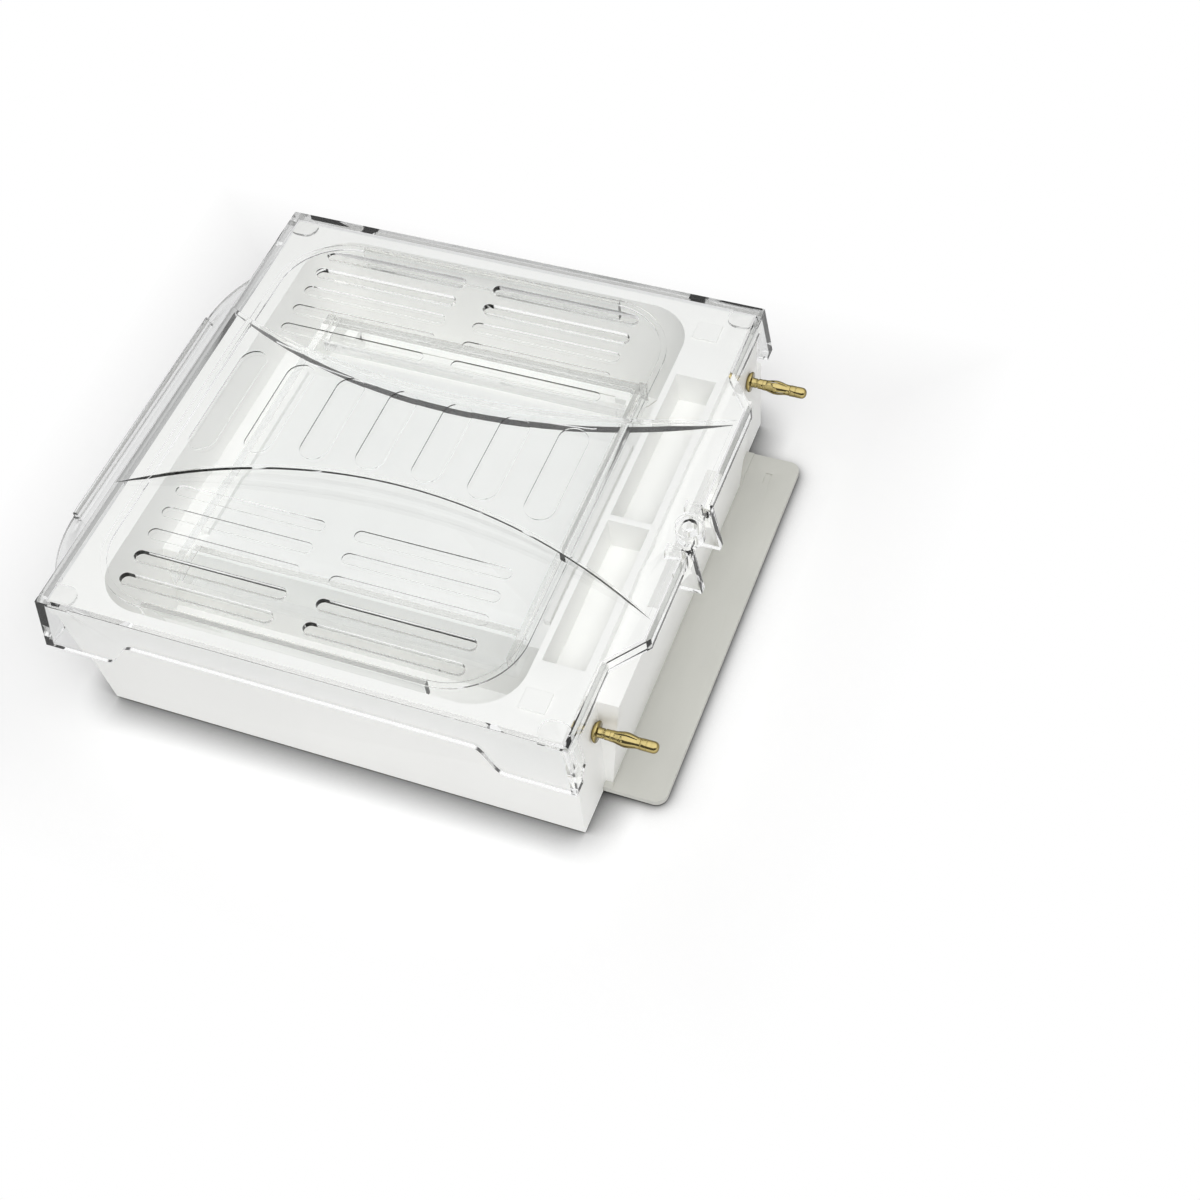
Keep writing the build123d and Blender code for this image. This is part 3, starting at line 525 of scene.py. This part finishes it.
def rounded(node, name, width, segments, body, slot, material, inset=0.0):
    """A merged copy of a CAD node, drawn in by an inset, with its edges rounded over."""
    mesh = NODES[node].data.copy()
    mesh.name = name
    bm = bmesh.new()
    bm.from_mesh(mesh)
    bmesh.ops.remove_doubles(bm, verts=bm.verts, dist=MERGE)
    bmesh.ops.dissolve_limit(bm, angle_limit=math.radians(FLAT_ANGLE), verts=bm.verts,
                             edges=bm.edges, use_dissolve_boundaries=False, delimit=set())
    bmesh.ops.triangulate(bm, faces=bm.faces)
    if inset:
        centre = node_middle(node)
        for vert in bm.verts:
            vert.co -= Vector([math.copysign(inset, part) for part in vert.co - centre])
    smooth_faces(bm, ROUNDED_ANGLE)
    bm.to_mesh(mesh)
    bm.free()
    piece = add_piece(name, mesh, body, slot, material, node)
    bevel = piece.modifiers.new("Rounded edges", "BEVEL")
    bevel.width = width
    bevel.segments = segments
    bevel.limit_method = "ANGLE"
    bevel.angle_limit = math.radians(ROUNDED_ANGLE)
    bevel.harden_normals = True
    bevel.miter_outer = "MITER_ARC"


def turned_mesh(profile, centre):
    """Half section (x, radius) spun about the line along X through centre."""
    bm = bmesh.new()
    verts = [bm.verts.new(centre + Vector((x, radius, 0.0))) for x, radius in profile]
    edges = [bm.edges.new(pair) for pair in zip(verts, verts[1:])]
    bmesh.ops.spin(bm, geom=verts + edges, cent=centre, axis=(1, 0, 0), dvec=(0, 0, 0),
                   angle=math.tau, steps=PLUG_STEPS, use_merge=True, use_duplicate=False)
    bmesh.ops.remove_doubles(bm, verts=bm.verts, dist=MERGE)
    bmesh.ops.recalc_face_normals(bm, faces=bm.faces)
    return bm


def mesh_from(bm, name):
    """Finishes a turned bmesh and makes it a mesh."""
    smooth_faces(bm, SHARP_ANGLE)
    mesh = bpy.data.meshes.new(name)
    bm.to_mesh(mesh)
    bm.free()
    return mesh


# Plugs

# Half section of a plug: millimetres back from the tip, and radius. It runs from the rounded nose
# over the tip with its fine groove, the core under the leaf spring, the barrel, a dark groove,
# the neck and the flange to the threaded tail.
PLUG_SECTION = (
    (0.0, 0.0), (0.0, 0.45), (0.05, 0.75), (0.2, 1.1), (0.42, 1.42), (0.75, 1.7), (1.1, 1.88),
    (1.5, 1.98), (1.75, 2.0), (3.6, 2.0), (3.68, 1.9), (3.88, 1.9), (3.96, 2.0), (5.8, 2.0),
    (5.9, 1.94), (5.9, 1.2), (15.9, 1.2), (15.9, 1.76), (16.0, 1.8), (17.5, 1.8), (17.6, 1.7),
    (17.62, 1.42), (18.0, 1.42), (18.02, 1.6), (18.12, 1.7), (19.6, 1.7), (19.85, 1.78),
    (20.0, 2.0), (20.02, 3.45), (20.1, 3.6), (20.25, 3.68), (20.45, 3.7), (20.7, 3.66),
    (21.5, 2.9), (21.5, 1.5),
)
TAIL_CREST, TAIL_ROOT, TAIL_PITCH = 1.5, 1.32, 0.7
LEAF_STEPS, LEAF_COLUMNS, LEAVES, PLUG_STEPS = 28, 10, 4, 48
# the leaf spring's sheet, its end rings' length and radius, and how far their lips are rounded
LEAF_WALL, RING_LONG, RING_RADIUS, RING_LIP = 0.35 * MM, 1.1 * MM, 1.9 * MM, 0.08 * MM
# how far a ring reaches under the leaves, its inner lip, and how far a leaf's sides roll inwards
RING_UNDER, RING_INNER_LIP, LEAF_ROLL = 0.15 * MM, 0.05 * MM, 0.09 * MM
# how sharply a leaf bulges along its length, and how late its sides begin to roll
BULGE_POWER, ROLL_POWER = 1.5, 6


def plug_piece(pole):
    """Turned gold plug with its grooves, flange and threaded tail."""
    low, high = node_box(f"{pole}_plug")
    centre = node_middle(f"{pole}_plug")
    section = [(high.x - centre.x - back * MM, radius * MM) for back, radius in PLUG_SECTION]
    back = PLUG_SECTION[-1][0] + TAIL_PITCH
    end = (high.x - low.x) / MM
    while back < end:
        for place, radius in ((back - TAIL_PITCH / 2, TAIL_ROOT), (back, TAIL_CREST)):
            section.append((high.x - centre.x - place * MM, radius * MM))
        back += TAIL_PITCH
    section += [(low.x - centre.x, TAIL_ROOT * MM), (low.x - centre.x, 0.0)]
    bm = turned_mesh(section, centre)
    add_piece(f"{pole}_plug_turned", mesh_from(bm, f"{pole}_plug_turned"), "tank", "gold",
              gold_plating(), f"{pole}_plug")


def leaf_grid(bm, rows, columns, place):
    """Closed shell of a curved strip; place(row, column, layer) gives each point."""
    grid = [[[bm.verts.new(place(row, column, layer)) for column in range(columns + 1)]
             for row in range(rows + 1)] for layer in (0, 1)]
    for row in range(rows):
        for column in range(columns):
            for layer in grid:
                bm.faces.new((layer[row][column], layer[row][column + 1],
                              layer[row + 1][column + 1], layer[row + 1][column]))
    outer, inner = grid
    for row in range(rows):
        for column in (0, columns):
            bm.faces.new((outer[row][column], outer[row + 1][column],
                          inner[row + 1][column], inner[row][column]))
    for column in range(columns):
        for row in (0, rows):
            bm.faces.new((outer[row][column], outer[row][column + 1],
                          inner[row][column + 1], inner[row][column]))


def spring_piece(pole):
    """Leaf spring: a ring at each end and four leaves that bulge between them."""
    low, high = node_box(f"{pole}_spring")
    centre = node_middle(f"{pole}_spring")
    top = (high.z - low.z) / 2
    half = (high.x - low.x) / 2
    reach = half - RING_LONG

    def outer_radius(x):
        bulge = math.cos(math.pi / 2 * min(1.0, abs(x) / reach)) ** BULGE_POWER
        return RING_RADIUS + (top - RING_RADIUS) * bulge

    def leaf_point(turn):
        def place(row, column, layer):
            x = -reach + 2 * reach * row / LEAF_STEPS
            radius = outer_radius(x)
            middle = 1.0 - min(1.0, abs(x) / reach) ** 2.0
            slot = sizes().slot_end + (sizes().slot_middle - sizes().slot_end) * middle
            span = math.pi / LEAVES - slot / 2 / radius
            share = 2 * column / LEAF_COLUMNS - 1
            edge = LEAF_ROLL * abs(share) ** ROLL_POWER
            angle = turn + span * share
            radius -= layer * LEAF_WALL + edge * (1 - 2 * layer)
            return centre + Vector((x, radius * math.cos(angle), radius * math.sin(angle)))
        return place

    bm = bmesh.new()
    for leaf in range(LEAVES):
        leaf_grid(bm, LEAF_STEPS, LEAF_COLUMNS, leaf_point(math.tau / LEAVES * (leaf + 0.5)))
    for side in (-1, 1):
        near, far = side * (reach - RING_UNDER), side * half
        bore = RING_RADIUS - LEAF_WALL
        section = [(near, bore), (near, RING_RADIUS - RING_INNER_LIP),
                   (near + side * RING_INNER_LIP, RING_RADIUS),
                   (far - side * RING_LIP, RING_RADIUS), (far, RING_RADIUS - RING_LIP),
                   (far, bore), (near, bore)]
        part = turned_mesh(section, centre)
        mesh = bpy.data.meshes.new("ring")
        part.to_mesh(mesh)
        part.free()
        bm.from_mesh(mesh)
        bpy.data.meshes.remove(mesh)
    bmesh.ops.recalc_face_normals(bm, faces=bm.faces)
    add_piece(f"{pole}_spring_leaves", mesh_from(bm, f"{pole}_spring_leaves"), "tank", "gold",
              gold_plating(), f"{pole}_spring")


# Operators

class TANK_OT_moulding(bpy.types.Operator):
    """Round the white tank and give it its finish."""
    bl_idname = "tank.moulding"
    bl_label = "White tank"

    def execute(self, context):
        rounded("tank_body", "tank_moulding", sizes().body_edge, 3, "tank", "white",
                white_plastic())
        for pole in POLES:
            for part in ("cap", "holders"):
                rounded(f"{pole}_{part}", f"{pole}_{part}_moulding", sizes().small_edge, 2, "tank",
                        "white", white_plastic())
        return {"FINISHED"}


class TANK_OT_lid(bpy.types.Operator):
    """Round the clear lid and give it its finish."""
    bl_idname = "tank.lid"
    bl_label = "Clear lid"

    def execute(self, context):
        rounded("lid", "lid_moulding", sizes().lid_edge, 2, "lid", "clear", clear_plastic())
        return {"FINISHED"}


class TANK_OT_tray(bpy.types.Operator):
    """Round the gel tray and its two dams."""
    bl_idname = "tank.tray"
    bl_label = "Gel tray and dams"

    def execute(self, context):
        rounded("gel_tray", "gel_tray_moulding", sizes().lid_edge, 2, "tray", "clear",
                faint_plastic())
        for node in ("front_dam", "back_dam"):
            rounded(node, f"{node}_moulding", sizes().lid_edge, 2, node, "clear",
                    faint_plastic(), inset=sizes().dam_gap)
        return {"FINISHED"}


class TANK_OT_plate(bpy.types.Operator):
    """Round the dock plate and finish the screws and feet."""
    bl_idname = "tank.plate"
    bl_label = "Dock plate, screws and feet"

    def execute(self, context):
        rounded("dock_plate", "dock_plate_sheet", sizes().plate_edge, 2, "tank", "plate_grey",
                plate_grey())
        finish_nodes({"plate_screws": plain_steel(), "rubber_feet": black_rubber()})
        return {"FINISHED"}


class TANK_OT_electrodes(bpy.types.Operator):
    """Finish the plugs, leaf springs, nuts, strips, posts, seals and wires."""
    bl_idname = "tank.electrodes"
    bl_label = "Plugs and electrodes"

    def execute(self, context):
        for pole in POLES:
            finish_nodes({f"{pole}_{part}": plain_steel()
                          for part in ("nuts", "washer", "strip", "post")})
            finish_nodes({f"{pole}_seal": black_rubber(), f"{pole}_wire": platinum_wire()})
            plug_piece(pole)
            spring_piece(pole)
        return {"FINISHED"}


# Studio

FLOOR_HALF, FLOOR_ROUGHNESS = 4.0, 0.9
# how much of its colour the floor throws back onto the object
FLOOR_BOUNCE = 0.88
# the painted contact shadow's reach in metres, and how strong it is
CONTACT_REACH, CONTACT_POWER = 0.014, 1.8
# how far from the object the floor begins and ends to turn white, in metres
FLOOR_FADE = (0.02, 0.06)
# the world's strength as a light, and in the dark zones at the back and in front
WORLD_LIGHT, BACK_DARK, FRONT_DARK = 0.36, 0.35, 0.08
# between which directions the zone at the back fades out: upwards, and back plus a part of right
BACK_HEIGHT, BACK_TURN, BACK_SLANT = (0.1, 0.5), (-0.3, 0.3), 0.5
# between which directions the zone in front fades in: downwards and forwards
FRONT_HEIGHT, FRONT_TURN = (0.72, 0.6), (-0.25, -0.4)
# the soft box's place and size in metres, and its power in watts
LAMP_PLACE, LAMP_SIZE, LAMP_POWER = (0.45, -0.6, 1.5), (1.8, 1.8), 24.0
# the camera's sensor and lens in millimetres, its place in millimetres, and its clipping in metres
SENSOR_WIDTH, LENS, CAMERA_PLACE = 36.0, 57.286, (242.975, -368.067, 537.590)
CLIP_START, CLIP_END = 0.01, 20.0


def camera_matrix():
    """The photograph's view: place and turn of the camera, in metres."""
    right = Vector((0.93327278, 0.3512734, -0.07489265))
    down = Vector((0.23927058, -0.7635709, -0.59975751))
    forward = Vector((-0.26786471, 0.54181775, -0.79666933))
    turn = Matrix((right, -down, -forward)).transposed().to_4x4()
    return Matrix.Translation(Vector(CAMERA_PLACE) * MM) @ turn


def soft_box():
    """A soft box aimed at the object. Gloss doesn't mirror it and clear parts don't show it."""
    data = bpy.data.lights.new("Key", "AREA")
    data.shape = "RECTANGLE"
    data.size, data.size_y = LAMP_SIZE
    data.energy = LAMP_POWER
    lamp = bpy.data.objects.new("Key", data)
    lamp.location = LAMP_PLACE
    lamp.rotation_mode = "QUATERNION"
    lamp.rotation_quaternion = (-Vector(LAMP_PLACE)).to_track_quat("-Z", "Y")
    lamp.visible_glossy = False
    lamp.visible_transmission = False
    bpy.context.scene.collection.objects.link(lamp)


def floor_material():
    """Pale floor that keeps the object's shadow, with a painted contact shadow for the camera, and
    runs out into white for the camera.
    """
    material = bpy.data.materials.new("Studio floor")
    material.use_nodes = True
    tree = material.node_tree
    shader = tree.nodes["Principled BSDF"]
    shader.inputs["Roughness"].default_value = FLOOR_ROUGHNESS
    shader.inputs["Specular IOR Level"].default_value = 0.0
    path = tree.nodes.new("ShaderNodeLightPath")
    camera_ray = path.outputs["Is Camera Ray"]
    # painted contact shadow: ambient occlusion darkens the floor's colour near the object
    contact = tree.nodes.new("ShaderNodeAmbientOcclusion")
    contact.inputs["Distance"].default_value = CONTACT_REACH
    open_sky = math_node(tree, "POWER", contact.outputs["AO"], CONTACT_POWER)
    bright = map_range(tree, camera_ray, 0.0, 1.0, FLOOR_BOUNCE, open_sky)
    seen = mix_colour(tree, bright, (0.0, 0.0, 0.0, 1.0), colours().floor)
    tree.links.new(seen, shader.inputs["Base Color"])
    axes = split_axes(tree, tree.nodes.new("ShaderNodeTexCoord").outputs["Object"])
    beyond = [math_node(tree, "SUBTRACT", math_node(tree, "ABSOLUTE", axis), edge)
              for axis, edge in zip(axes[:2], CAD_BOX[1])]
    far = map_range(tree, math_node(tree, "MAXIMUM", *beyond), *FLOOR_FADE, 0.0, 1.0)
    white = tree.nodes.new("ShaderNodeEmission")
    mix = tree.nodes.new("ShaderNodeMixShader")
    tree.links.new(math_node(tree, "MULTIPLY", far, camera_ray), mix.inputs[0])
    tree.links.new(shader.outputs[0], mix.inputs[1])
    tree.links.new(white.outputs[0], mix.inputs[2])
    tree.links.new(mix.outputs[0], tree.nodes["Material Output"].inputs["Surface"])
    return material


def studio_world():
    """White to the camera, soft grey as a light, and white with dark zones to gloss and glass."""
    world = bpy.data.worlds.new("Studio")
    bpy.context.scene.world = world
    world.use_nodes = True
    tree = world.node_tree
    background = tree.nodes["Background"]
    background.inputs["Color"].default_value = (1.0, 1.0, 1.0, 1.0)
    path = tree.nodes.new("ShaderNodeLightPath")
    x, y, z = split_axes(tree, tree.nodes.new("ShaderNodeTexCoord").outputs["Generated"])
    # the zone low at the back gives the lid's edges their dark lines
    height = map_range(tree, z, *BACK_HEIGHT, 0.0, 1.0)
    behind = math_node(tree, "MULTIPLY_ADD", x, BACK_SLANT, y)
    side = map_range(tree, behind, *BACK_TURN, 1.0, 0.0)
    through = map_range(tree, math_node(tree, "MAXIMUM", height, side), 0.0, 1.0, BACK_DARK, 1.0)
    # only mirrored rays meet the zone low in front, which gives the gold its bands
    front = map_range(tree, y, *FRONT_TURN, 0.0, 1.0)
    low = map_range(tree, z, *FRONT_HEIGHT, 0.0, 1.0)
    dark = map_range(tree, math_node(tree, "MULTIPLY", front, low), 0.0, 1.0, 1.0, FRONT_DARK)
    strength = WORLD_LIGHT
    for label, seen in (("Is Transmission Ray", through),
                        ("Is Glossy Ray", math_node(tree, "MULTIPLY", through, dark)),
                        ("Is Camera Ray", 1.0)):
        strength = map_range(tree, path.outputs[label], 0.0, 1.0, strength, seen)
    tree.links.new(strength, background.inputs["Strength"])


class TANK_OT_stage(bpy.types.Operator):
    """Make the floor, the soft box, the world and the camera."""
    bl_idname = "tank.stage"
    bl_label = "Studio"

    def execute(self, context):
        bm = bmesh.new()
        bmesh.ops.create_grid(bm, x_segments=2, y_segments=2, size=FLOOR_HALF)
        mesh = bpy.data.meshes.new("studio_floor")
        bm.to_mesh(mesh)
        bm.free()
        mesh.materials.append(floor_material())
        floor = bpy.data.objects.new("studio_floor", mesh)
        context.scene.collection.objects.link(floor)
        soft_box()
        studio_world()
        data = bpy.data.cameras.new("Photo view")
        data.sensor_width, data.lens = SENSOR_WIDTH, LENS
        data.clip_start, data.clip_end = CLIP_START, CLIP_END
        camera = bpy.data.objects.new("Photo view", data)
        camera.matrix_world = camera_matrix()
        context.scene.collection.objects.link(camera)
        context.scene.camera = camera
        context.scene.view_settings.view_transform = "Standard"
        return {"FINISHED"}


OPERATORS = (TANK_OT_moulding, TANK_OT_lid, TANK_OT_tray, TANK_OT_plate, TANK_OT_electrodes,
             TANK_OT_stage)


class TANK_PT_panel(bpy.types.Panel):
    """Sidebar list of the tank's pieces, sizes and colours."""
    bl_idname = "TANK_PT_panel"
    bl_label = "Gel Tank"
    bl_space_type = "VIEW_3D"
    bl_region_type = "UI"
    bl_category = "Gel Tank"

    def draw(self, context):
        for operator in OPERATORS:
            self.layout.operator(operator.bl_idname)
        for group in (context.scene.tank_sizes, context.scene.tank_colours):
            for name in group.__annotations__:
                self.layout.prop(group, name)


CLASSES = (TankSizes, TankColours, *OPERATORS, TANK_PT_panel)


def register():
    """Registers the classes and hangs the settings on the scene."""
    for cls in CLASSES:
        bpy.utils.register_class(cls)
    bpy.types.Scene.tank_sizes = bpy.props.PointerProperty(type=TankSizes)
    bpy.types.Scene.tank_colours = bpy.props.PointerProperty(type=TankColours)


def unregister():
    """Takes the settings and the classes away again."""
    del bpy.types.Scene.tank_sizes
    del bpy.types.Scene.tank_colours
    for cls in reversed(CLASSES):
        bpy.utils.unregister_class(cls)


def main():
    """Runs every step in order."""
    register()
    bpy.ops.tank.moulding()
    bpy.ops.tank.lid()
    bpy.ops.tank.tray()
    bpy.ops.tank.plate()
    bpy.ops.tank.electrodes()
    bpy.ops.tank.stage()


if __name__ == "__main__":
    main()
